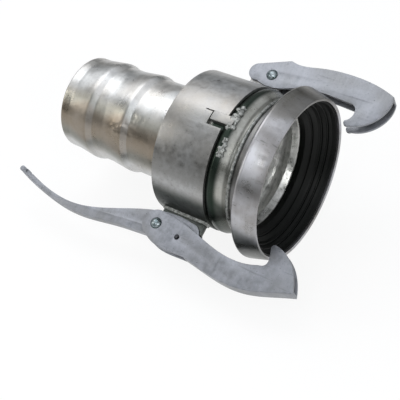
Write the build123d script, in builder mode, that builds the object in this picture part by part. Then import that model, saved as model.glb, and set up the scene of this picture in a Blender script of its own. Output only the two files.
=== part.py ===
"""Lever-lock hose coupling: the female half, with a barbed tail for a 4 inch hose.

A spun steel body carries a sealing mouth at its front and a hose tail at its back.
A loose closing ring lies round the body. It carries a plain hook on one side and,
on the other, a lever with its own hook. Two key lugs on the body stand in notches
of the ring and keep it from turning.

Frame: the origin is the centre of the mouth's plane, +X runs along the axis out of
the mouth, +Z is up as the coupling lies on its side. Sizes are in millimetres.
"""
import os
from math import asin, cos, degrees, radians, sin

from build123d import *

os.makedirs("parts", exist_ok=True)

# ---- Driving sizes ---------------------------------------------------------

RUN_GAP = 0.05      # radial clearance of a pin in its hole
SIDE_GAP = 0.2      # clearance beside a piece that works between two cheeks
SEAT_GAP = 0.3      # clearance between two pieces that rest on each other
HOOK_REST = 1.5     # play between the plain hook and the band that it lies over

# Hose tail
TAIL_RADIUS = 51.0
TAIL_WALL = 3.2
TAIL_END = -265.5
TAIL_LEAD = 0.4         # how much smaller the plain end is than the tube
BARB_RISE = 2.7
BARB_CRESTS = (-229.0, -182.5)
BARB_RAMP = 26.0        # long rising side, towards the hose's end
BARB_DROP = 7.5         # short falling side

# Body
BODY_WALL = 3.4
BODY_REAR = -119.0
BODY_RADIUS = 72.2      # outside, under the ring
BODY_BULGE = 3.7        # further out, just in front of the ring, so that the ring can't slip off
SHOULDER_SHARE = 0.566  # of the way from the tail's radius to the body's, half along the shoulder
BULGE_X = -57.5
BODY_BEND = 5.0         # radius of the bends along the body
NECK_X = -39.5
NECK_DROP = 2.2         # from the body in to the neck

# Mouth
BAND_RADIUS = 89.6
BAND_TAPER = 6.2        # from the band's back edge in to the mouth
BAND_WIDTH = 22.4
MOUTH_WALL = 3.0
SEAL_STEP = 8.2         # from the neck in to the seal's bore
SEAL_LAND = 6.0
SEAL_GROOVE = 1.3
LIP_WALL = 3.0
LIP_DEPTH = 4.2         # from the seal's bore in to the lip

# Closing ring
RING_WALL = 3.5
RING_GAP = 0.5          # ring's bore over the body
RING_FRONT = -63.5
RING_WIDTH = 61.0
NOTCH_WIDTH = 15.0
NOTCH_DEPTH = 17.0
SLIT_LENGTH = 8.0       # saw cut that runs on past the notch's corner
SLIT_WIDTH = 1.2
KEY_WIDTH = 9.5
KEY_LENGTH = 24.0
KEY_PROUD = 0.7         # the key's top over the ring
KEY_WELD_TURN = 26.0    # angle of the bead across the key's front
KEY_WELD_WIDTH = 8.4

# Hooks and lever
LIE_ANGLE = 27.5        # how far the hooks' plane is turned about X as the part lies
PIVOT_X = -78.9
PIVOT_RISE = 17.0       # the ears' holes over the ring
RIVET_RADIUS = 4.0
HEAD_RADIUS = 5.4
HEAD_HEIGHT = 3.2
HOOK_SHEET = 2.75
LEVER_SHEET = 2.5
EAR_WIDTH = 5.7         # lever ear
EYE_RADIUS = 8.6
LINK_X = -113.9         # rivet that joins the hook to the lever
LINK_RISE = 4.0         # over the ears' holes
PIN_HOLE_X = -85.7
PIN_HOLE_RISE = 8.7
PIN_HOLE_RADIUS = 2.75
LANYARD_HOLE_RADIUS = 2.0
WELD = 2.6

# ---- Sizes that follow -----------------------------------------------------

BULGE_RADIUS = BODY_RADIUS + BODY_BULGE
NECK_RADIUS = BODY_RADIUS - NECK_DROP
MOUTH_RADIUS = BAND_RADIUS - BAND_TAPER
SEAL_BORE = NECK_RADIUS - SEAL_STEP
LIP_RADIUS = SEAL_BORE - LIP_DEPTH
RING_BORE = BODY_RADIUS + RING_GAP
RING_RADIUS = RING_BORE + RING_WALL
RING_REAR = RING_FRONT - RING_WIDTH
PIVOT_RADIUS = RING_RADIUS + PIVOT_RISE
LINK_RADIUS = PIVOT_RADIUS + LINK_RISE
LEVER_WIDTH = EAR_WIDTH + 2 * (SIDE_GAP + LEVER_SHEET)
HOOK_WIDTH = LEVER_WIDTH + 2 * (SIDE_GAP + HOOK_SHEET)
FIXED_EAR_WIDTH = HOOK_WIDTH - 2 * (HOOK_SHEET + SIDE_GAP)
NOTCH_HALF_ANGLE = degrees(asin(NOTCH_WIDTH / 2 / RING_RADIUS))
KEY_HALF_ANGLE = degrees(asin(KEY_WIDTH / 2 / RING_RADIUS))


def arm_plane(angle):
    """Plane through the axis whose y leaves the axis at this angle, with its x along the axis."""
    turn = radians(angle)
    return Plane(origin=(0, 0, 0), x_dir=(1, 0, 0), z_dir=(0, -sin(turn), cos(turn)))


HOOK_PLANE = arm_plane(LIE_ANGLE)
LEVER_PLANE = arm_plane(LIE_ANGLE + 180)


# ---- Body: everything that is welded to the waterway -----------------------

tail_mid = TAIL_RADIUS - TAIL_WALL / 2


def barb(crest, foot):
    """Mid-line points of one rolled barb, from its foot on the hose side."""
    return [
        (crest - BARB_RAMP, foot),
        (crest - 3, tail_mid + BARB_RISE),
        (crest, tail_mid + BARB_RISE),
        (crest + BARB_DROP, tail_mid),
    ]


with BuildPart() as hose_shank:
    with BuildSketch():
        with BuildLine():
            points = [(TAIL_END, tail_mid - TAIL_LEAD)]
            points += barb(BARB_CRESTS[0], tail_mid - TAIL_LEAD)
            points += barb(BARB_CRESTS[1], tail_mid)
            points.append((BODY_REAR, tail_mid))
            FilletPolyline(*points, radius=5)
        trace(line_width=TAIL_WALL)
    revolve(axis=Axis.X)

def body_line(inward):
    """Line of the body's sheet from the tail's joint to the neck, this far in from its outside."""
    outside = [
        (BODY_REAR, TAIL_RADIUS),
        (BODY_REAR + 4, TAIL_RADIUS + 0.4),
        (-97, TAIL_RADIUS + SHOULDER_SHARE * (BODY_RADIUS - TAIL_RADIUS)),
        (-82, BODY_RADIUS - 0.6),
        (RING_FRONT + 0.7, BODY_RADIUS),
        (BULGE_X - 2, BULGE_RADIUS),
        (BULGE_X + 3, BULGE_RADIUS - 0.3),
        (-49, BODY_RADIUS + 0.9),
        (NECK_X - 4, NECK_RADIUS),
        (NECK_X, NECK_RADIUS),
    ]
    return FilletPolyline(*[(x, radius - inward) for x, radius in outside], radius=BODY_BEND)


with BuildPart() as ball_body:
    with BuildSketch():
        with BuildLine():
            outer = body_line(0)
            inner = body_line(BODY_WALL)
            Line(outer @ 0, inner @ 0)
            Line(outer @ 1, inner @ 1)
        make_face()
    revolve(axis=Axis.X)

with BuildPart() as mouth_collar:
    with BuildSketch():
        with BuildLine():
            half = MOUTH_WALL / 2
            FilletPolyline(
                (0, MOUTH_RADIUS - half),
                (-BAND_WIDTH, BAND_RADIUS - half),
                (-31.5, NECK_RADIUS - half),
                (NECK_X, NECK_RADIUS - half),
                radius=2.2,
            )
        trace(line_width=MOUTH_WALL)
    revolve(axis=Axis.X)


def round_weld(x, radius, size, *joined):
    """Bead round a butt joint, lying on the pieces that it joins."""
    with BuildPart() as bead:
        with BuildSketch():
            with Locations((x, radius)):
                Circle(size)
            with Locations((x, radius - size)):
                Rectangle(4 * size, 2 * size, mode=Mode.SUBTRACT)
        revolve(axis=Axis.X)
        for piece in joined:
            add(piece.part, mode=Mode.SUBTRACT)
    return bead


shank_weld = round_weld(BODY_REAR, TAIL_RADIUS, WELD, hose_shank, ball_body)
collar_weld = round_weld(NECK_X, NECK_RADIUS, 0.8 * WELD)

# A dished steel ring closes the neck and is the seat that the seal lies on.
with BuildPart() as seat_ring:
    with BuildSketch():
        seat_edge = NECK_RADIUS - MOUTH_WALL - RUN_GAP
        with BuildLine():
            FilletPolyline(
                (NECK_X + 2.0, seat_edge),
                (NECK_X + 2.0, SEAL_BORE + 1.0),
                (NECK_X - 4.5, LIP_RADIUS + 1.2),
                radius=1.8,
            )
        trace(line_width=LIP_WALL)
        Rectangle(4 * BAND_RADIUS, 2 * LIP_RADIUS, mode=Mode.SUBTRACT)
    revolve(axis=Axis.X)

with BuildPart() as seal_ring:
    with BuildSketch():
        seal_back = NECK_X + 2.0 + LIP_WALL / 2 + SEAT_GAP
        band_slope = (BAND_RADIUS - MOUTH_RADIUS) / BAND_WIDTH
        inside = MOUTH_RADIUS - MOUTH_WALL - SEAT_GAP
        depth = inside - SEAL_BORE
        with BuildLine():
            Polyline(
                (-3.0, inside + 3.0 * band_slope),
                (-BAND_WIDTH + 4.5, inside + (BAND_WIDTH - 4.5) * band_slope),
                (-29.5, NECK_RADIUS - MOUTH_WALL - SEAT_GAP),
                (seal_back, NECK_RADIUS - MOUTH_WALL - SEAT_GAP),
                (seal_back, SEAL_BORE),
                (seal_back + SEAL_LAND, SEAL_BORE),
                (-20.0, SEAL_BORE + 0.503 * depth),
                (-7.0, SEAL_BORE + 0.858 * depth),
                (-3.0, SEAL_BORE + 0.918 * depth),
                close=True,
            )
        make_face()
        for x, share in ((-24.5, 0.284), (-16.5, 0.59), (-11.0, 0.743)):
            with Locations((x, SEAL_BORE + share * depth)):
                Circle(SEAL_GROOVE, mode=Mode.SUBTRACT)
    revolve(axis=Axis.X)

# ---- Keys: two lugs on the body, half a turn apart --------------------------

# The notch spans from its upper side, which the key touches, to its lower side.
NOTCH_ANGLE = LIE_ANGLE + 87.0
KEY_ANGLE = NOTCH_ANGLE - NOTCH_HALF_ANGLE + KEY_HALF_ANGLE + degrees(SEAT_GAP / RING_RADIUS)
KEY_REAR = RING_FRONT - NOTCH_DEPTH + 1.5
KEY_FRONT = KEY_REAR + KEY_LENGTH
KEY_FOOT = BODY_RADIUS - 2 * BODY_WALL     # inside the body, before that is cut away


def radial_plane(angle, x=0.0):
    """Plane whose normal leaves the axis at this angle, with its x along the axis."""
    turn = radians(angle)
    return Plane(origin=(x, 0, 0), x_dir=(1, 0, 0), z_dir=(0, cos(turn), sin(turn)))


# Cutters: the space that the ring and its bore fill, all that lies above the keys, and
# all that lies inside the middle of the body's sheet.
with BuildPart() as ring_envelope:
    with BuildSketch(Plane.YZ.offset(RING_REAR - 5)):
        Circle(RING_RADIUS + RUN_GAP)
    extrude(amount=RING_WIDTH + 10)

with BuildPart() as above_keys:
    with BuildSketch(Plane.YZ.offset(RING_REAR)):
        Circle(2 * RING_RADIUS)
        Circle(RING_RADIUS + KEY_PROUD, mode=Mode.SUBTRACT)
    extrude(amount=2 * RING_WIDTH)

with BuildPart() as body_core:
    with BuildSketch():
        with BuildLine():
            middle = body_line(BODY_WALL / 2)
            Polyline(middle @ 1, (NECK_X, 0), (BODY_REAR, 0), middle @ 0)
        make_face()
    revolve(axis=Axis.X)

with BuildPart() as key_lugs:
    for half_turn in (0, 180):
        with BuildSketch(radial_plane(KEY_ANGLE + half_turn).offset(KEY_FOOT)):
            with Locations(((KEY_REAR + KEY_FRONT) / 2, 0)):
                RectangleRounded(KEY_LENGTH, KEY_WIDTH, 1.5)
        extrude(amount=20)
    add(above_keys.part, mode=Mode.SUBTRACT)
    add(body_core.part, mode=Mode.SUBTRACT)
    add(ball_body.part, mode=Mode.SUBTRACT)

# The bead lies across the key's front and reaches well past its upper side.
with BuildPart() as key_welds:
    for half_turn in (0, 180):
        start = KEY_ANGLE + KEY_HALF_ANGLE - KEY_WELD_TURN + half_turn
        with BuildSketch(arm_plane(start)):
            with Locations((KEY_FRONT + 1, BULGE_RADIUS - 1)):
                Ellipse(KEY_WELD_WIDTH / 2, WELD)
        revolve(axis=Axis.X, revolution_arc=KEY_WELD_TURN + 1)
    add(key_lugs.part, mode=Mode.SUBTRACT)
    add(body_core.part, mode=Mode.SUBTRACT)
    add(ball_body.part, mode=Mode.SUBTRACT)

# ---- Closing ring and what is welded to it ----------------------------------

with BuildPart() as closing_ring:
    with BuildSketch(Plane.YZ.offset(RING_REAR)):
        Circle(RING_RADIUS)
        Circle(RING_BORE, mode=Mode.SUBTRACT)
    extrude(amount=RING_WIDTH)
    for half_turn in (0, 180):
        with BuildSketch(radial_plane(NOTCH_ANGLE + half_turn)):
            with Locations((RING_FRONT - NOTCH_DEPTH / 2 + 1, 0)):
                Rectangle(NOTCH_DEPTH + 2, NOTCH_WIDTH)
            with Locations((RING_FRONT - NOTCH_DEPTH - SLIT_LENGTH / 2, NOTCH_WIDTH / 2 - SLIT_WIDTH / 2)):
                Rectangle(SLIT_LENGTH, SLIT_WIDTH)
        extrude(amount=2 * RING_RADIUS, mode=Mode.SUBTRACT)


def ear(plane, width, heel):
    """Flat eye that stands on the ring, with a hole for a rivet."""
    foot = RING_RADIUS - 4
    with BuildPart() as built:
        with BuildSketch(plane):
            with BuildLine():
                Polyline(
                    (RING_FRONT - 3, foot),
                    (RING_FRONT - 3, PIVOT_RADIUS - 3),
                    (PIVOT_X, PIVOT_RADIUS),
                    (heel, RING_RADIUS + 9),
                    (heel, foot),
                    close=True,
                )
            make_face()
            with Locations((PIVOT_X, PIVOT_RADIUS)):
                Circle(EYE_RADIUS)
                Circle(RIVET_RADIUS + RUN_GAP, mode=Mode.SUBTRACT)
        extrude(amount=width / 2, both=True)
        add(ring_envelope.part, mode=Mode.SUBTRACT)
    return built


def ear_weld(plane, width, heel, standing):
    """Bead round the foot of an ear. The width is that of the bead's footprint."""
    length = RING_FRONT - 3 - heel
    sag = 0.6       # how far the ring's curve falls away under the bead's sides
    with BuildPart() as built:
        with BuildSketch(radial_plane_of(plane, RING_RADIUS - sag)):
            with Locations((heel + length / 2, 0)):
                RectangleRounded(length + 2 * WELD, width, WELD * 0.9)
        extrude(amount=sag + WELD, taper=25)
        add(standing.part, mode=Mode.SUBTRACT)
        add(ring_envelope.part, mode=Mode.SUBTRACT)
    return built


def radial_plane_of(plane, distance):
    """Plane square to the arm that a hook's own plane holds, at a distance from the axis."""
    out = plane.y_dir
    return Plane(origin=out * distance, x_dir=(1, 0, 0), z_dir=out)


FIXED_EAR_HEEL = -100.0
LEVER_EAR_HEEL = -117.0

fixed_ear = ear(HOOK_PLANE, FIXED_EAR_WIDTH, FIXED_EAR_HEEL)
fixed_ear_weld = ear_weld(HOOK_PLANE, FIXED_EAR_WIDTH, FIXED_EAR_HEEL, fixed_ear)
lever_ear = ear(LEVER_PLANE, EAR_WIDTH, LEVER_EAR_HEEL)
lever_ear_weld = ear_weld(LEVER_PLANE, EAR_WIDTH + 2 * WELD, LEVER_EAR_HEEL, lever_ear)

# ---- Rivets -----------------------------------------------------------------


def rivet(plane, x, rho, grip):
    """Round rivet with two domed heads just outside the cheeks that it holds."""
    reach = grip / 2 + RUN_GAP
    dome = (HEAD_RADIUS**2 + HEAD_HEIGHT**2) / (2 * HEAD_HEIGHT)
    with BuildPart() as built:
        with BuildSketch(plane.offset(-reach)):
            with Locations((x, rho)):
                Circle(RIVET_RADIUS)
        extrude(amount=2 * reach)
        for side in (1, -1):
            face = Plane(origin=plane.from_local_coords((x, rho, side * reach)),
                         x_dir=plane.x_dir, z_dir=plane.z_dir * side)
            with BuildSketch(Plane(origin=face.origin, x_dir=face.x_dir, z_dir=-face.y_dir)):
                with BuildLine():
                    Line((0, 0), (HEAD_RADIUS, 0))
                    RadiusArc((HEAD_RADIUS, 0), (0, HEAD_HEIGHT), -dome)
                    Line((0, HEAD_HEIGHT), (0, 0))
                make_face()
            revolve(axis=Axis(face.origin, face.z_dir))
    return built


fixed_hook_rivet = rivet(HOOK_PLANE, PIVOT_X, PIVOT_RADIUS, HOOK_WIDTH)
lever_hook_rivet = rivet(LEVER_PLANE, LINK_X, LINK_RADIUS, HOOK_WIDTH)

with BuildPart() as lever_pivot_pin:
    with BuildSketch(LEVER_PLANE.offset(-LEVER_WIDTH / 2)):
        with Locations((PIVOT_X, PIVOT_RADIUS)):
            Circle(RIVET_RADIUS)
    extrude(amount=LEVER_WIDTH)

# ---- Hooks and lever: folded channels ----------------------------------------


def channel(plane, outline, hollow, width, sheet, holes):
    """Two cheeks of one outline, joined by the web that the hollow leaves at the back."""
    with BuildPart() as built:
        with BuildSketch(plane):
            add(outline)
        extrude(amount=width / 2, both=True)
        with BuildSketch(plane):
            add(hollow)
        extrude(amount=width / 2 - sheet, both=True, mode=Mode.SUBTRACT)
        with BuildSketch(plane):
            for x, rho, radius in holes:
                with Locations((x, rho)):
                    Circle(radius)
        extrude(amount=width, both=True, mode=Mode.SUBTRACT)
    return built


def at_pivot(plane):
    """The same plane with its origin at the level of the ears' holes, as the outlines below have it."""
    return Plane(origin=plane.y_dir * PIVOT_RADIUS, x_dir=plane.x_dir, z_dir=plane.z_dir)


def beneath(back, sheet, start, end, floor):
    """Area below a back edge's own line, one sheet lower, and open past both its ends."""
    with BuildSketch() as area:
        with BuildLine():
            Spline(*[(x, rho - sheet) for x, rho in back])
            first = (back[0][0], back[0][1] - sheet)
            last = (back[-1][0], back[-1][1] - sheet)
            Polyline(last, (last[0], last[1] + 40), (end, last[1] + 40), (end, floor),
                     (start, floor), (start, first[1] + 40), (first[0], first[1] + 40), first)
        make_face()
    return area.sketch


# Plain hook: it swings on the fixed ear and its back end stops it on the ring.
FIXED_BACK = [(-66, 21.3), (-50, 19.8), (-34, 22.8), (0, 25.6), (26, 23.3), (50, 16.3)]
with BuildSketch() as fixed_outline:
    with BuildLine():
        Spline(*FIXED_BACK)
        Spline((50, 16.3), (51, 5.8), (43, -13.2), (21, -26.2))
        ThreePointArc((21, -26.2), (16, -26.6), (15, -22.2))
        Spline((15, -22.2), (20.5, -13.2), (18.5, -6.2), (12, -3.6))
        Spline((12, -3.6), (-22, BAND_RADIUS + HOOK_REST - PIVOT_RADIUS), (-44, -4.6), (-62, -11.2), (-75, -13.4), (-92, -10.2))
        ThreePointArc((-92, -10.2), (-105, -1.2), (-98, 8.3))
        Line((-98, 8.3), (-66, 21.3))
    make_face()
fixed_hook = channel(
    at_pivot(HOOK_PLANE),
    fixed_outline.sketch,
    beneath(FIXED_BACK, HOOK_SHEET, -130, 80, -53),
    HOOK_WIDTH,
    HOOK_SHEET,
    [(PIVOT_X, 0, RIVET_RADIUS + RUN_GAP)],
)

# Lever hook: it swings on the lever and straddles it.
LEVER_HOOK_BACK = [(-70, 24.3), (-49, 27.8), (-22, 31.1), (0, 29.8), (25, 22.3), (48.5, 13.8)]
with BuildSketch() as lever_hook_outline:
    with BuildLine():
        Spline(*LEVER_HOOK_BACK)
        Spline((48.5, 13.8), (45, 4.8), (33, -12.2), (13, -22.2))
        ThreePointArc((13, -22.2), (9.6, -21.6), (8.6, -18.2))
        Spline((8.6, -18.2), (11.5, -9.2), (12, -3.2), (5, 1.8))
        Spline((5, 1.8), (-20, 6.8), (-50, 2.8), (-75, -4.2), (-95, -8.2), (-114, -10.2))
        ThreePointArc((-114, -10.2), (-129, 1.8), (-119, 17.8))
        Spline((-119, 17.8), (-108, 23.3), (-90, 25.1), (-70, 24.3))
    make_face()
lever_hook = channel(
    at_pivot(LEVER_PLANE),
    lever_hook_outline.sketch,
    beneath(LEVER_HOOK_BACK, HOOK_SHEET, -150, 80, -53),
    HOOK_WIDTH,
    HOOK_SHEET,
    [
        (LINK_X, LINK_RISE, RIVET_RADIUS + RUN_GAP),
        (PIN_HOLE_X, PIN_HOLE_RISE, PIN_HOLE_RADIUS),
    ],
)

# Lever: it pivots on the lever ear, and its grip runs back past the hose tail.
LEVER_BACK = [(-100, 14.8), (-122, 17.3), (-160, 20.8), (-206, 26.8), (-250, 22.8), (-296, 9.8)]
with BuildSketch() as lever_outline:
    with BuildLine():
        Spline(*LEVER_BACK)
        ThreePointArc((-296, 9.8), (-299.5, 6.3), (-296, 3.8))
        Spline((-296, 3.8), (-262, 13.8), (-215, 18.8), (-160, 3.8), (-123, -8.7), (-79, -10.7))
        ThreePointArc((-79, -10.7), (-66.5, -1.2), (-72, 11.3))
        Line((-72, 11.3), (-100, 14.8))
    make_face()
lever = channel(
    at_pivot(LEVER_PLANE),
    lever_outline.sketch,
    beneath([(x, rho) for x, rho in reversed(LEVER_BACK)], LEVER_SHEET, -320, -40, -53),
    LEVER_WIDTH,
    LEVER_SHEET,
    [
        (PIVOT_X, 0, RIVET_RADIUS + RUN_GAP),
        (LINK_X, LINK_RISE, RIVET_RADIUS + RUN_GAP),
        (PIN_HOLE_X, PIN_HOLE_RISE, PIN_HOLE_RADIUS),
        (-289, 7.8, LANYARD_HOLE_RADIUS),
    ],
)

# ---- Write the pieces ---------------------------------------------------------

parts = {
    "hose_shank": hose_shank,
    "shank_weld": shank_weld,
    "ball_body": ball_body,
    "collar_weld": collar_weld,
    "mouth_collar": mouth_collar,
    "seat_ring": seat_ring,
    "seal_ring": seal_ring,
    "key_lugs": key_lugs,
    "key_welds": key_welds,
    "closing_ring": closing_ring,
    "fixed_ear": fixed_ear,
    "fixed_ear_weld": fixed_ear_weld,
    "fixed_hook_rivet": fixed_hook_rivet,
    "fixed_hook": fixed_hook,
    "lever_ear": lever_ear,
    "lever_ear_weld": lever_ear_weld,
    "lever_pivot_pin": lever_pivot_pin,
    "lever": lever,
    "lever_hook_rivet": lever_hook_rivet,
    "lever_hook": lever_hook,
}
for name, piece in parts.items():
    piece.part.label = name
    export_step(piece.part, f"parts/{name}.step")
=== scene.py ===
import random
from math import atan2, degrees, exp, pi, radians

import bmesh
import bpy
from mathutils import Matrix, Vector, noise


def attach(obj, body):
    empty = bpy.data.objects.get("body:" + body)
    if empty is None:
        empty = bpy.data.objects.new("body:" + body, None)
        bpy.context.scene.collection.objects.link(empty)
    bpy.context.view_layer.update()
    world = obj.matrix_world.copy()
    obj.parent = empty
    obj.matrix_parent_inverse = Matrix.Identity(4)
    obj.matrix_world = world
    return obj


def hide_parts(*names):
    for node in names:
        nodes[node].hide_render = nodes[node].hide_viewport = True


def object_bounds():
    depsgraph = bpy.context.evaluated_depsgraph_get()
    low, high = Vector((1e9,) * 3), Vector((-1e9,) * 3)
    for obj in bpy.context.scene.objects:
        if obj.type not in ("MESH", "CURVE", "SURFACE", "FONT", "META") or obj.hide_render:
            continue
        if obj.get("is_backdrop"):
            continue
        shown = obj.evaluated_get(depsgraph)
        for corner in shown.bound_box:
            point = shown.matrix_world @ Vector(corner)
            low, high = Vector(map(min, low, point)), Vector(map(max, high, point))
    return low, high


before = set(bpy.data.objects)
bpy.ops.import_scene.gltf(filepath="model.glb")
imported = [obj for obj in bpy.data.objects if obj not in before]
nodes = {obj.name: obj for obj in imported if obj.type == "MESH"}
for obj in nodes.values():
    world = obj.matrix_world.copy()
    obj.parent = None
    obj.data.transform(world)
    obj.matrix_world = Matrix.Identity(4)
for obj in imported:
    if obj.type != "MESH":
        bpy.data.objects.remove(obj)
cad_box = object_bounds()

# ---- Studio ----------------------------------------------------------------
# A camera high over the mouth's side, a wide soft lamp overhead, a long narrow
# one in front, two more at the mouth and the tail, and a pale floor.

scene = bpy.context.scene
scene.view_settings.view_transform = "Standard"

camera = bpy.data.objects.new("camera", bpy.data.cameras.new("camera"))
scene.collection.objects.link(camera)
camera.location = (0.32645, -0.57792, 0.57891)
camera.rotation_euler = (radians(47.835), radians(3.964), radians(34.483))
camera.data.lens = 80.84
camera.data.sensor_width = 36
camera.data.clip_start = 0.05
scene.camera = camera

aim = (cad_box[0] + cad_box[1]) / 2
for name, place, size, power, colour in (
    ("overhead_lamp", (-1.1, 0.35, 2.1), (1.6, 1.9), 23, (0.97, 0.98, 1)),
    ("front_strip", (0.1, -1.2, 1.4), (0.3, 1.2), 4, (0.93, 0.96, 1)),
    ("mouth_lamp", (1.6, -1.0, 1.1), (0.5, 0.5), 10, (1, 1, 1)),
    ("tail_lamp", (-1.9, -1.2, 1.0), (0.5, 1.2), 9, (1, 0.97, 0.93)),
):
    light = bpy.data.lights.new(name, "AREA")
    light.shape = "RECTANGLE"
    light.size, light.size_y = size
    light.energy = power
    light.color = colour
    lamp = bpy.data.objects.new(name, light)
    scene.collection.objects.link(lamp)
    lamp.location = place
    lamp.rotation_mode = "QUATERNION"
    lamp.rotation_quaternion = (aim - Vector(place)).to_track_quat("-Z", "Y")

world = bpy.data.worlds.new("studio")
scene.world = world
world.use_nodes = True
tree = world.node_tree
heading = tree.nodes.new("ShaderNodeTexCoord")
upward = tree.nodes.new("ShaderNodeSeparateXYZ")
tree.links.new(heading.outputs["Generated"], upward.inputs[0])
sky = tree.nodes.new("ShaderNodeValToRGB")
for stop, (height, colour) in zip(sky.color_ramp.elements, (
    (0.12, (0.035, 0.04, 0.035, 1)),
    (0.6, (0.7, 0.72, 0.75, 1)),
)):
    stop.position = height
    stop.color = colour
tree.links.new(upward.outputs["Z"], sky.inputs[0])
tree.links.new(sky.outputs[0], tree.nodes["Background"].inputs["Color"])

FLOOR_SIZE = 30
FLOOR_GAP = 0.0005
WHITE_SHARE = 0.88
board = bmesh.new()
bmesh.ops.create_grid(board, x_segments=1, y_segments=1, size=FLOOR_SIZE)
bmesh.ops.translate(board, verts=board.verts, vec=(0, 0, cad_box[0].z - FLOOR_GAP))
floor = bpy.data.objects.new("floor", bpy.data.meshes.new("floor"))
board.to_mesh(floor.data)
board.free()
scene.collection.objects.link(floor)
floor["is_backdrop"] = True

floor_paint = bpy.data.materials.new("pale_floor")
floor_paint.use_nodes = True
tree = floor_paint.node_tree
face = tree.nodes["Principled BSDF"]
face.inputs["Base Color"].default_value = (0.9, 0.9, 0.9, 1)
face.inputs["Roughness"].default_value = 0.9
white = tree.nodes.new("ShaderNodeEmission")
path = tree.nodes.new("ShaderNodeLightPath")
rays = path.outputs["Is Camera Ray"]
for kind in ("Is Glossy Ray", "Is Transmission Ray"):
    either = tree.nodes.new("ShaderNodeMath")
    either.operation = "ADD"
    tree.links.new(rays, either.inputs[0])
    tree.links.new(path.outputs[kind], either.inputs[1])
    rays = either.outputs[0]
share = tree.nodes.new("ShaderNodeMath")
share.operation = "MULTIPLY"
share.use_clamp = True
share.inputs[1].default_value = WHITE_SHARE
tree.links.new(rays, share.inputs[0])
blend = tree.nodes.new("ShaderNodeMixShader")
tree.links.new(share.outputs[0], blend.inputs[0])
tree.links.new(face.outputs[0], blend.inputs[1])
tree.links.new(white.outputs[0], blend.inputs[2])
tree.links.new(blend.outputs[0], tree.nodes["Material Output"].inputs["Surface"])
floor.data.materials.append(floor_paint)

# ---- Hose tail ---------------------------------------------------------------
# Steel tube with two rolled barbs and a plain end, hot-dip galvanised. The zinc
# has run and lies thick and lumpy behind the barbs; oil and rust stain it warm.
# One side is painted dark olive as shade, and each barb's falling face carries a
# pale painted highlight.

STREAK_RELIEF = 0.45
FLECK_RELIEF = -0.25


def skin_group():
    """Masks and height that all galvanised pieces share, from their place in the object."""
    group = bpy.data.node_groups.new("zinc_skin", "ShaderNodeTree")
    for name, value in (("Blotch Scale", 60), ("Streak Scale", 300), ("Fleck Scale", 700), ("Shift", 0)):
        socket = group.interface.new_socket(name, in_out="INPUT", socket_type="NodeSocketFloat")
        socket.default_value = value
    for name in ("Blotch", "Streak", "Fleck", "Scratch", "Height"):
        group.interface.new_socket(name, in_out="OUTPUT", socket_type="NodeSocketFloat")
    add, join = group.nodes.new, group.links.new
    given, put = add("NodeGroupInput"), add("NodeGroupOutput")
    place = add("ShaderNodeTexCoord")
    moved = add("ShaderNodeVectorMath")
    moved.operation = "ADD"
    join(place.outputs["Object"], moved.inputs[0])
    join(given.outputs["Shift"], moved.inputs[1])
    raw, mask = {}, {}
    for name, scale, stretch, detail, rough, low, high in (
        ("Blotch", "Blotch Scale", (1, 1, 1), 6, 0.62, 0.32, 0.68),
        ("Streak", "Streak Scale", (1, 0.06, 0.06), 4, 0.6, 0.32, 0.68),
        ("Fleck", "Fleck Scale", (1, 1, 1), 2, 0.5, 0.66, 0.74),
        ("Scratch", "Streak Scale", (0.06, 1, 0.5), 3, 0.55, 0.64, 0.72),
    ):
        squeeze = add("ShaderNodeVectorMath")
        squeeze.operation = "MULTIPLY"
        squeeze.inputs[1].default_value = stretch
        join(moved.outputs[0], squeeze.inputs[0])
        texture = add("ShaderNodeTexNoise")
        texture.inputs["Detail"].default_value = detail
        texture.inputs["Roughness"].default_value = rough
        join(squeeze.outputs[0], texture.inputs["Vector"])
        join(given.outputs[scale], texture.inputs["Scale"])
        spread = add("ShaderNodeMapRange")
        spread.inputs["From Min"].default_value = low
        spread.inputs["From Max"].default_value = high
        join(texture.outputs[0], spread.inputs[0])
        join(spread.outputs[0], put.inputs[name])
        raw[name], mask[name] = texture.outputs[0], spread.outputs[0]
    height = raw["Blotch"]
    for source, amount in ((raw["Streak"], STREAK_RELIEF), (mask["Fleck"], FLECK_RELIEF)):
        layer = add("ShaderNodeMath")
        layer.operation = "MULTIPLY_ADD"
        layer.inputs[1].default_value = amount
        join(source, layer.inputs[0])
        join(height, layer.inputs[2])
        height = layer.outputs[0]
    join(height, put.inputs["Height"])
    return group


ZINC_SKIN = skin_group()


def mixed(tree, factor, first, second, amount=1.0):
    """Colour mix by a mask times an amount; either colour is a value or a socket."""
    mix = tree.nodes.new("ShaderNodeMix")
    mix.data_type = "RGBA"
    scaled = tree.nodes.new("ShaderNodeMath")
    scaled.operation = "MULTIPLY"
    scaled.use_clamp = True
    scaled.inputs[1].default_value = amount
    tree.links.new(factor, scaled.inputs[0])
    tree.links.new(scaled.outputs[0], mix.inputs["Factor"])
    for value, socket in ((first, mix.inputs["A"]), (second, mix.inputs["B"])):
        if isinstance(value, tuple):
            socket.default_value = (*value, 1)
        else:
            tree.links.new(value, socket)
    return mix.outputs["Result"]


TINT_EDGES = (0.42, 0.62)
SOOT_SHARE = 0.25
GLOSS_SWING = (-0.09, 0.11)
RELIEF_DEPTH = 0.0012
HARD_EDGE = 38


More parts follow.
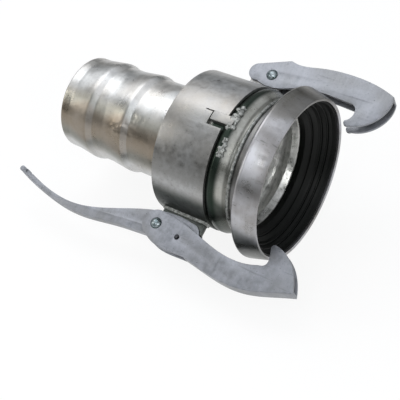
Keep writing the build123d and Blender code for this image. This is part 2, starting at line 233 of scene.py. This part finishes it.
def zinc(name, dark, pale, roughness, streaks=0.5, blotches=60, blotch=1.0, bump=0.25, shift=0.0,
         metal=0.85, fleck=0.6, scratch=0.0, tint=None, zones=()):
    """Zinc-coated steel, blotched from dark to pale. A tint is (colour, amount, scale) of patches; a zone
    is (colour, amount, direction, from, to, fade), with its last three in millimetres that way."""
    material = bpy.data.materials.new(name)
    material.use_nodes = True
    tree = material.node_tree
    shader = tree.nodes["Principled BSDF"]
    skin = tree.nodes.new("ShaderNodeGroup")
    skin.node_tree = ZINC_SKIN
    skin.inputs["Blotch Scale"].default_value = blotches
    skin.inputs["Shift"].default_value = shift
    colour = mixed(tree, skin.outputs["Blotch"], dark, pale, blotch)
    colour = mixed(tree, skin.outputs["Streak"], colour, pale, streaks)
    place = tree.nodes.new("ShaderNodeTexCoord")
    if tint:
        stain, amount, scale = tint
        patch = tree.nodes.new("ShaderNodeTexNoise")
        patch.inputs["Scale"].default_value = scale
        patch.inputs["Detail"].default_value = 3
        tree.links.new(place.outputs["Object"], patch.inputs["Vector"])
        edge = tree.nodes.new("ShaderNodeMapRange")
        edge.inputs["From Min"].default_value, edge.inputs["From Max"].default_value = TINT_EDGES
        tree.links.new(patch.outputs[0], edge.inputs[0])
        colour = mixed(tree, edge.outputs[0], colour, stain, amount)
    for stain, amount, direction, low, high, fade in zones:
        along = tree.nodes.new("ShaderNodeVectorMath")
        along.operation = "DOT_PRODUCT"
        along.inputs[1].default_value = direction
        tree.links.new(place.outputs["Object"], along.inputs[0])
        rising, falling = (tree.nodes.new("ShaderNodeMapRange") for _ in range(2))
        for ramp, start, end in ((rising, low - fade, low), (falling, high + fade, high)):
            ramp.interpolation_type = "SMOOTHSTEP"
            ramp.inputs["From Min"].default_value = start / 1000
            ramp.inputs["From Max"].default_value = end / 1000
            tree.links.new(along.outputs["Value"], ramp.inputs[0])
        both = tree.nodes.new("ShaderNodeMath")
        both.operation = "MULTIPLY"
        tree.links.new(rising.outputs[0], both.inputs[0])
        tree.links.new(falling.outputs[0], both.inputs[1])
        colour = mixed(tree, both.outputs[0], colour, stain, amount)
    soot = tuple(SOOT_SHARE * tone for tone in dark)
    colour = mixed(tree, skin.outputs["Fleck"], colour, soot, fleck)
    colour = mixed(tree, skin.outputs["Scratch"], colour, soot, scratch)
    tree.links.new(colour, shader.inputs["Base Color"])
    gloss = tree.nodes.new("ShaderNodeMapRange")
    gloss.inputs["To Min"].default_value = roughness + GLOSS_SWING[0]
    gloss.inputs["To Max"].default_value = roughness + GLOSS_SWING[1]
    tree.links.new(skin.outputs["Blotch"], gloss.inputs[0])
    tree.links.new(gloss.outputs[0], shader.inputs["Roughness"])
    shader.inputs["Metallic"].default_value = metal
    relief = tree.nodes.new("ShaderNodeBump")
    relief.inputs["Strength"].default_value = bump
    relief.inputs["Distance"].default_value = RELIEF_DEPTH
    tree.links.new(skin.outputs["Height"], relief.inputs["Height"])
    tree.links.new(relief.outputs[0], shader.inputs["Normal"])
    return material


def finished(name, mesh, body, slot, material, *replaced):
    """Puts a bmesh in the scene as a piece, with sharp edges kept where the surface turns hard."""
    piece = bpy.data.objects.new(name, bpy.data.meshes.new(name))
    mesh.to_mesh(piece.data)
    mesh.free()
    piece.data.shade_smooth()
    piece.data.set_sharp_from_angle(angle=radians(HARD_EDGE))
    piece.data.materials.append(material)
    scene.collection.objects.link(piece)
    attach(piece, body)
    if replaced:
        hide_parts(*replaced)
    return piece


TAIL_OUTLINE = [
    (-265.5, 50.6), (-255, 50.6), (-232, 53.7), (-229, 53.7), (-221.5, 51), (-208.5, 51),
    (-185.5, 53.7), (-182.5, 53.7), (-175, 51), (-119, 51), (-119, 47.8), (-175, 47.8),
    (-182.5, 50.5), (-185.5, 50.5), (-208.5, 47.8), (-221.5, 47.8), (-229, 50.5), (-232, 50.5),
    (-255, 47.4), (-265.5, 47.4),
]


def turned(outline, bend, steps, spacing):
    """Closed outline of (x, radius) points in millimetres, its corners rounded, spun about the axis."""
    mesh = bmesh.new()
    corners = [mesh.verts.new((x / 1000, 0, r / 1000)) for x, r in outline]
    for first, second in zip(corners, corners[1:] + corners[:1]):
        mesh.edges.new((first, second))
    bmesh.ops.bevel(mesh, geom=mesh.verts[:], offset=bend / 1000, segments=4, profile=0.5,
                    affect="VERTICES", material=-1, clamp_overlap=True)
    for edge in mesh.edges[:]:
        cuts = int(edge.calc_length() * 1000 / spacing)
        if cuts:
            bmesh.ops.subdivide_edges(mesh, edges=[edge], cuts=cuts)
    bmesh.ops.spin(mesh, geom=mesh.verts[:] + mesh.edges[:], axis=(1, 0, 0), cent=(0, 0, 0),
                   dvec=(0, 0, 0), angle=2 * pi, steps=steps, use_merge=True)
    bmesh.ops.remove_doubles(mesh, verts=mesh.verts, dist=1e-7)
    bmesh.ops.recalc_face_normals(mesh, faces=mesh.faces)
    return mesh


WAVE_SCALE, LUMP_SCALE, DRIP_SCALE = 38, 160, 260
LUMP_SHIFT = Vector((7, 0, 0))
DEGREE_REACH = 0.9


def lumps(mesh, coarse, fine, drips=()):
    """Moves each point along its normal, in millimetres: broad waves, small lumps, and drips that lie
    thick about (x, angle) as far as their reach, given as (x, angle, reach, height)."""
    mesh.normal_update()
    shifts = []
    for point in mesh.verts:
        at = point.co
        depth = coarse * noise.noise(at * WAVE_SCALE) + fine * noise.noise(at * LUMP_SCALE + LUMP_SHIFT)
        angle = degrees(atan2(at.z, at.y))
        for x, around, reach, height in drips:
            turn = (angle - around + 180) % 360 - 180
            distance = ((at.x * 1000 - x) ** 2 + (turn * DEGREE_REACH) ** 2) ** 0.5 / reach
            depth += height * exp(-distance * distance) * (0.5 + 1.2 * noise.noise(at * DRIP_SCALE))
        shifts.append(depth / 1000)
    for point, depth in zip(mesh.verts, shifts):
        point.co += point.normal * depth


DRIPS = ((-178, 150, 9, 0.5), (-192, 156, 7, 0.45), (-168, 132, 8, 0.35), (-250, 165, 8, 0.25))
ALONG = (1, 0, 0)
SIDE = (0, -0.94, 0.342)
# Painted shade: dark olive laid on the side of the tail that faces SIDE.
OLIVE_SHADE = (0.1, 0.095, 0.06)
# Painted highlight: pale colour laid round each barb's falling face.
BARB_HIGHLIGHT = (0.82, 0.85, 0.9)
RUST = (0.36, 0.2, 0.09)
TAIL_ZINC = zinc(
    "tail_zinc", (0.33, 0.33, 0.32), (0.64, 0.645, 0.64), 0.33, streaks=0.35, blotches=48, bump=0.18,
    tint=((0.36, 0.28, 0.2), 0.2, 32),
    zones=(
        # Painted shade on one side; rust stains the same side.
        (OLIVE_SHADE, 0.65, SIDE, 47, 60, 8),
        (RUST, 0.2, SIDE, 51, 60, 4),
        # Painted highlights on the barbs' falling faces.
        (BARB_HIGHLIGHT, 0.1, ALONG, -228.5, -223, 1.5),
        (BARB_HIGHLIGHT, 0.13, ALONG, -182, -176.5, 1.5),
    ),
)
tail = turned(TAIL_OUTLINE, 0.9, 240, 1.5)
lumps(tail, 0.08, 0.06, DRIPS)
finished("hose_tail", tail, "coupling", "tube_zinc", TAIL_ZINC, "hose_shank")

# ---- Body and its seams --------------------------------------------------------
# Spun sheet that swells in front of the ring, welded to the tail and the mouth.
# A painted shade darkens the body in front of the ring and towards the bottom,
# and the body is darker about the neck behind the band. A lining inside is
# streaked near-white and near-black as a painted reflection of its bright zinc.

DOWN = (0, -0.906, -0.423)
# Painted shade: near-black green laid in front of the ring and on the undersides of body, band and ring.
PAINTED_SHADE = (0.014, 0.024, 0.017)
# Darker colour on the body about the neck, behind the band.
NECK_DARK = (0.06, 0.06, 0.05)
BODY_ZINC = zinc(
    "body_zinc", (0.2, 0.2, 0.17), (0.5, 0.5, 0.47), 0.3, streaks=0.5, shift=1.3, bump=0.2,
    zones=(
        # Painted shade in front of the ring and towards the bottom; darker colour about the neck.
        (PAINTED_SHADE, 0.98, ALONG, -75, -54, 5),
        (PAINTED_SHADE, 0.85, DOWN, 66, 90, 8),
        (NECK_DARK, 0.6, ALONG, -44.5, -30, 2.0),
    ),
)
WELD_ZINC = zinc(
    "weld_zinc", (0.05, 0.055, 0.05), (0.45, 0.46, 0.44), 0.36, streaks=0.1, blotches=260, bump=0.6,
    shift=2.1,
)


def dressed(material, *names):
    """Gives CAD nodes that stay as they are a finish of their own."""
    for name in names:
        nodes[name].data.materials.clear()
        nodes[name].data.materials.append(material)


dressed(BODY_ZINC, "ball_body")
dressed(WELD_ZINC, "shank_weld", "collar_weld", "fixed_ear_weld", "lever_ear_weld")

# Painted reflection: near-white and near-black streaks stand for the shine of the zinc inside.
INNER_SHEEN = zinc(
    "inner_zinc_sheen", (0.04, 0.05, 0.035), (1.0, 1.0, 0.97), 0.18, streaks=0.6, blotches=60, shift=4.4,
    bump=0.7, metal=0.25, fleck=0.8,
)
LINING_OUTLINE = [
    (-118.5, 47.55), (-115.5, 47.95), (-97, 59.4), (-82, 67.95), (-65, 68.55), (-61.8, 69.7),
    (-59.6, 71.6), (-57, 72.2), (-54, 71.6), (-46, 67.6), (-46, 67.1), (-54, 71.1), (-57, 71.7),
    (-59.6, 71.1), (-61.8, 69.2), (-65, 68.05), (-82, 67.4), (-97, 58.9), (-115.5, 47.45), (-118.5, 47.05),
]
lining = turned(LINING_OUTLINE, 0.1, 180, 3.0)
lumps(lining, 0.12, 0.1)
finished("inner_zinc_sheen", lining, "coupling", "tube_zinc", INNER_SHEEN)

# ---- Mouth ---------------------------------------------------------------------
# Flared sheet band with a thin bright rim, welded to the body at its neck. The
# zinc on it is streaked and scratched; painted shade darkens it on top and
# below, and it is darker at its back by the neck.

SHARP_EDGE = 30
FLAT_TURN = 0.6
MERGE = 1e-6


def softened(node, width, segments=2):
    """Merged copy of a CAD node's mesh with its sharp edges rounded, in millimetres."""
    mesh = bmesh.new()
    mesh.from_mesh(nodes[node].data)
    bmesh.ops.remove_doubles(mesh, verts=mesh.verts, dist=MERGE)
    bmesh.ops.dissolve_limit(mesh, angle_limit=radians(FLAT_TURN), verts=mesh.verts, edges=mesh.edges)
    sharp = [e for e in mesh.edges if e.is_manifold and e.calc_face_angle(0) > radians(SHARP_EDGE)]
    bmesh.ops.bevel(mesh, geom=sharp, offset=width / 1000, segments=segments, profile=0.5,
                    affect="EDGES", material=-1, clamp_overlap=True)
    return mesh


UP = (0, 0.35, 0.937)
# Darker colour on the back of the band, by the neck.
BAND_BACK_DARK = (0.07, 0.07, 0.06)
# Painted shade: the top of the band darkened olive-brown.
TOP_SHADE = (0.07, 0.065, 0.045)
MOUTH_ZINC = zinc(
    "mouth_zinc", (0.26, 0.255, 0.245), (0.5, 0.5, 0.53), 0.33, streaks=0.4, blotches=40, shift=3.7,
    bump=0.12, scratch=0.55, tint=((0.17, 0.15, 0.13), 0.45, 30),
    zones=(
        # Darker at the back by the neck; painted shade on top and towards the bottom.
        (BAND_BACK_DARK, 0.7, ALONG, -42, -25.5, 1.5),
        (TOP_SHADE, 0.65, UP, 78, 95, 12),
        (PAINTED_SHADE, 0.7, DOWN, 84, 95, 7),
    ),
)
finished("mouth_band", softened("mouth_collar", 0.7, 3), "coupling", "tube_zinc", MOUTH_ZINC, "mouth_collar")

# ---- Seal and its seat -----------------------------------------------------------
# Black rubber ring with concentric grooves, inside the band. It lies on a dished
# steel ring that closes the neck and shows as a light, mottled lip.

SEAT_ZINC = zinc(
    "seat_zinc", (0.12, 0.125, 0.11), (0.62, 0.62, 0.6), 0.3, streaks=0.35, blotches=90, shift=5.1,
    bump=0.4,
)
dressed(SEAT_ZINC, "seat_ring")

rubber = bpy.data.materials.new("seal_rubber")
rubber.use_nodes = True
tree = rubber.node_tree
shader = tree.nodes["Principled BSDF"]
skin = tree.nodes.new("ShaderNodeGroup")
skin.node_tree = ZINC_SKIN
skin.inputs["Blotch Scale"].default_value = 90
black = mixed(tree, skin.outputs["Blotch"], (0.0008, 0.0012, 0.0008), (0.003, 0.004, 0.003))
tree.links.new(black, shader.inputs["Base Color"])
gloss = tree.nodes.new("ShaderNodeMapRange")
gloss.inputs["To Min"].default_value = 0.38
gloss.inputs["To Max"].default_value = 0.55
tree.links.new(skin.outputs["Streak"], gloss.inputs[0])
tree.links.new(gloss.outputs[0], shader.inputs["Roughness"])
shader.inputs["Specular IOR Level"].default_value = 0.18
dressed(rubber, "seal_ring")

# ---- Keys ------------------------------------------------------------------------
# Two flat lugs on the body, in the ring's notches, each with a rough weld bead
# across its front that runs on past it.

# Painted shade: the ring darkened on the side that faces LOWER_SIDE.
SIDE_SHADE = (0.1, 0.1, 0.09)
LOWER_SIDE = (0, -0.766, 0.643)
# Ring zinc, with painted shade towards the bottom and on one side.
RING_ZINC = zinc(
    "ring_zinc", (0.28, 0.28, 0.275), (0.46, 0.465, 0.47), 0.36, streaks=0.12, blotches=170, blotch=0.8,
    shift=6.2, bump=0.14, scratch=0.25, tint=((0.31, 0.27, 0.22), 0.45, 14), fleck=0.5,
    zones=((PAINTED_SHADE, 0.8, DOWN, 72, 90, 7), (SIDE_SHADE, 0.5, LOWER_SIDE, 70, 90, 6)),
)
finished("keys", softened("key_lugs", 0.5), "coupling", "ring_zinc", RING_ZINC, "key_lugs")


DROP_STEP = 0.2
DROP_RANGE = (0.6, 1.3)
DROP_ROUGHNESS, DROP_GRAIN = 0.0007, 500
BEAD_VOXEL = 0.0005


def bead(mesh, x, spread, radius, start, end, width, height, seed):
    """Patch of overlapping drops along the body's round, as a hand-laid weld leaves; millimetres, degrees."""
    draw = random.Random(seed)
    noise.seed_set(seed)
    count = max(1, round((end - start) / degrees(DROP_STEP * width / radius)))
    for drop in range(count + 1):
        turn = radians(start + (end - start) * drop / count)
        wide, tall, long = (draw.uniform(*DROP_RANGE) for _ in range(3))
        place = (Matrix.Rotation(turn, 4, "X")
                 @ Matrix.Translation(((x + draw.uniform(-spread, spread)) / 1000, radius / 1000, 0))
                 @ Matrix.Diagonal((width / 2000 * wide, height / 1000 * tall, width / 2200 * long, 1)))
        made = bmesh.ops.create_icosphere(mesh, subdivisions=3, radius=1, matrix=place)
        for point in made["verts"]:
            point.co += DROP_ROUGHNESS * noise.noise_vector(point.co * DROP_GRAIN)


key_bead = bmesh.new()
for half_turn in (0, 180):
    bead(key_bead, -56.5, 2.8, 74.7, 98 + half_turn, 118 + half_turn, 6.0, 2.0, 3)
    bead(key_bead, -54.5, 2.0, 74.9, 126 + half_turn, 139 + half_turn, 5.6, 1.2, 8)
key_welds = finished("key_beads", key_bead, "coupling", "weld_bead", WELD_ZINC, "key_welds")
joined = key_welds.modifiers.new("joined", "REMESH")
joined.mode = "VOXEL"
joined.voxel_size = BEAD_VOXEL
joined.use_smooth_shade = True

# ---- Closing ring ------------------------------------------------------------------
# Galvanised strip rolled into a ring, with two notches for the keys and a saw cut
# that runs on past each notch's corner. The ears are welded to it.

finished("ring", softened("closing_ring", 0.6, 3), "ring", "ring_zinc", RING_ZINC, "closing_ring")
for node in ("fixed_ear", "lever_ear"):
    finished(node + "_plate", softened(node, 0.5), "ring", "ring_zinc", RING_ZINC, node)

# ---- Hooks and lever -----------------------------------------------------------------
# Channels folded from sheet, with soft bends, zinc plated to a dull blue-grey.
# Each turns on a rivet or a pin.

HOOK_ZINC = zinc(
    "hook_zinc", (0.17, 0.18, 0.195), (0.34, 0.35, 0.385), 0.4, streaks=0.3, blotches=130, blotch=0.7,
    shift=7.9, bump=0.2, metal=0.6, fleck=0.6, scratch=0.3, tint=((0.15, 0.15, 0.145), 0.4, 34),
)
for node, name, body in (
    ("fixed_hook", "plain_hook", "plain_hook"),
    ("lever", "lever_arm", "lever"),
    ("lever_hook", "thrown_hook", "lever_hook"),
):
    finished(name, softened(node, 1.2, 3), body, "hook_zinc", HOOK_ZINC, node)

# ---- Rivets and pin ----------------------------------------------------------------
# Domed steel rivets and a flush pin, polished where the set pressed them. A thin
# dark ring round each rivet head, against the cheek, is a painted shadow.

RIVET_ZINC = zinc(
    "rivet_zinc", (0.06, 0.1, 0.11), (0.5, 0.55, 0.57), 0.25, streaks=0.0, blotches=260, shift=9.3,
    bump=0.5, fleck=0.3, metal=0.9,
)
dressed(RIVET_ZINC, "fixed_hook_rivet", "lever_hook_rivet", "lever_pivot_pin")

ARM_ANGLE = 27.5
# Painted shadow: a thin near-black ring laid round each rivet head, against the cheek.
SHADOW_RING_OUTLINE = [(8.4, 4.9), (9.0, 5.2), (9.05, 5.6), (8.8, 5.95), (8.4, 6.0)]
RIVET_SHADOW = zinc(
    "rivet_shadow_ring", (0.008, 0.016, 0.016), (0.07, 0.1, 0.1), 0.35, streaks=0.0, blotches=300, bump=0.3,
)
UPRIGHT = Matrix.Rotation(-pi / 2, 4, "Y")
for node, body, around in (
    ("fixed_hook_rivet", "ring", ARM_ANGLE),
    ("lever_hook_rivet", "lever", ARM_ANGLE + 180),
):
    points = [v.co for v in nodes[node].data.vertices]
    centre = Vector([(min(p[i] for p in points) + max(p[i] for p in points)) / 2 for i in range(3)])
    place = Matrix.Translation(centre) @ Matrix.Rotation(radians(around), 4, "X") @ UPRIGHT
    shadow_rings = bmesh.new()
    for side in (1, -1):
        collar = turned([(side * x, r) for x, r in SHADOW_RING_OUTLINE], 0.08, 48, 2.0)
        bmesh.ops.transform(collar, verts=collar.verts, matrix=place)
        loose = bpy.data.meshes.new("collar")
        collar.to_mesh(loose)
        collar.free()
        shadow_rings.from_mesh(loose)
        bpy.data.meshes.remove(loose)
    finished(node + "_collars", shadow_rings, body, "rivet_steel", RIVET_SHADOW)

size = {"cad": [list(corner) for corner in cad_box], "visual": [list(corner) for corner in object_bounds()]}
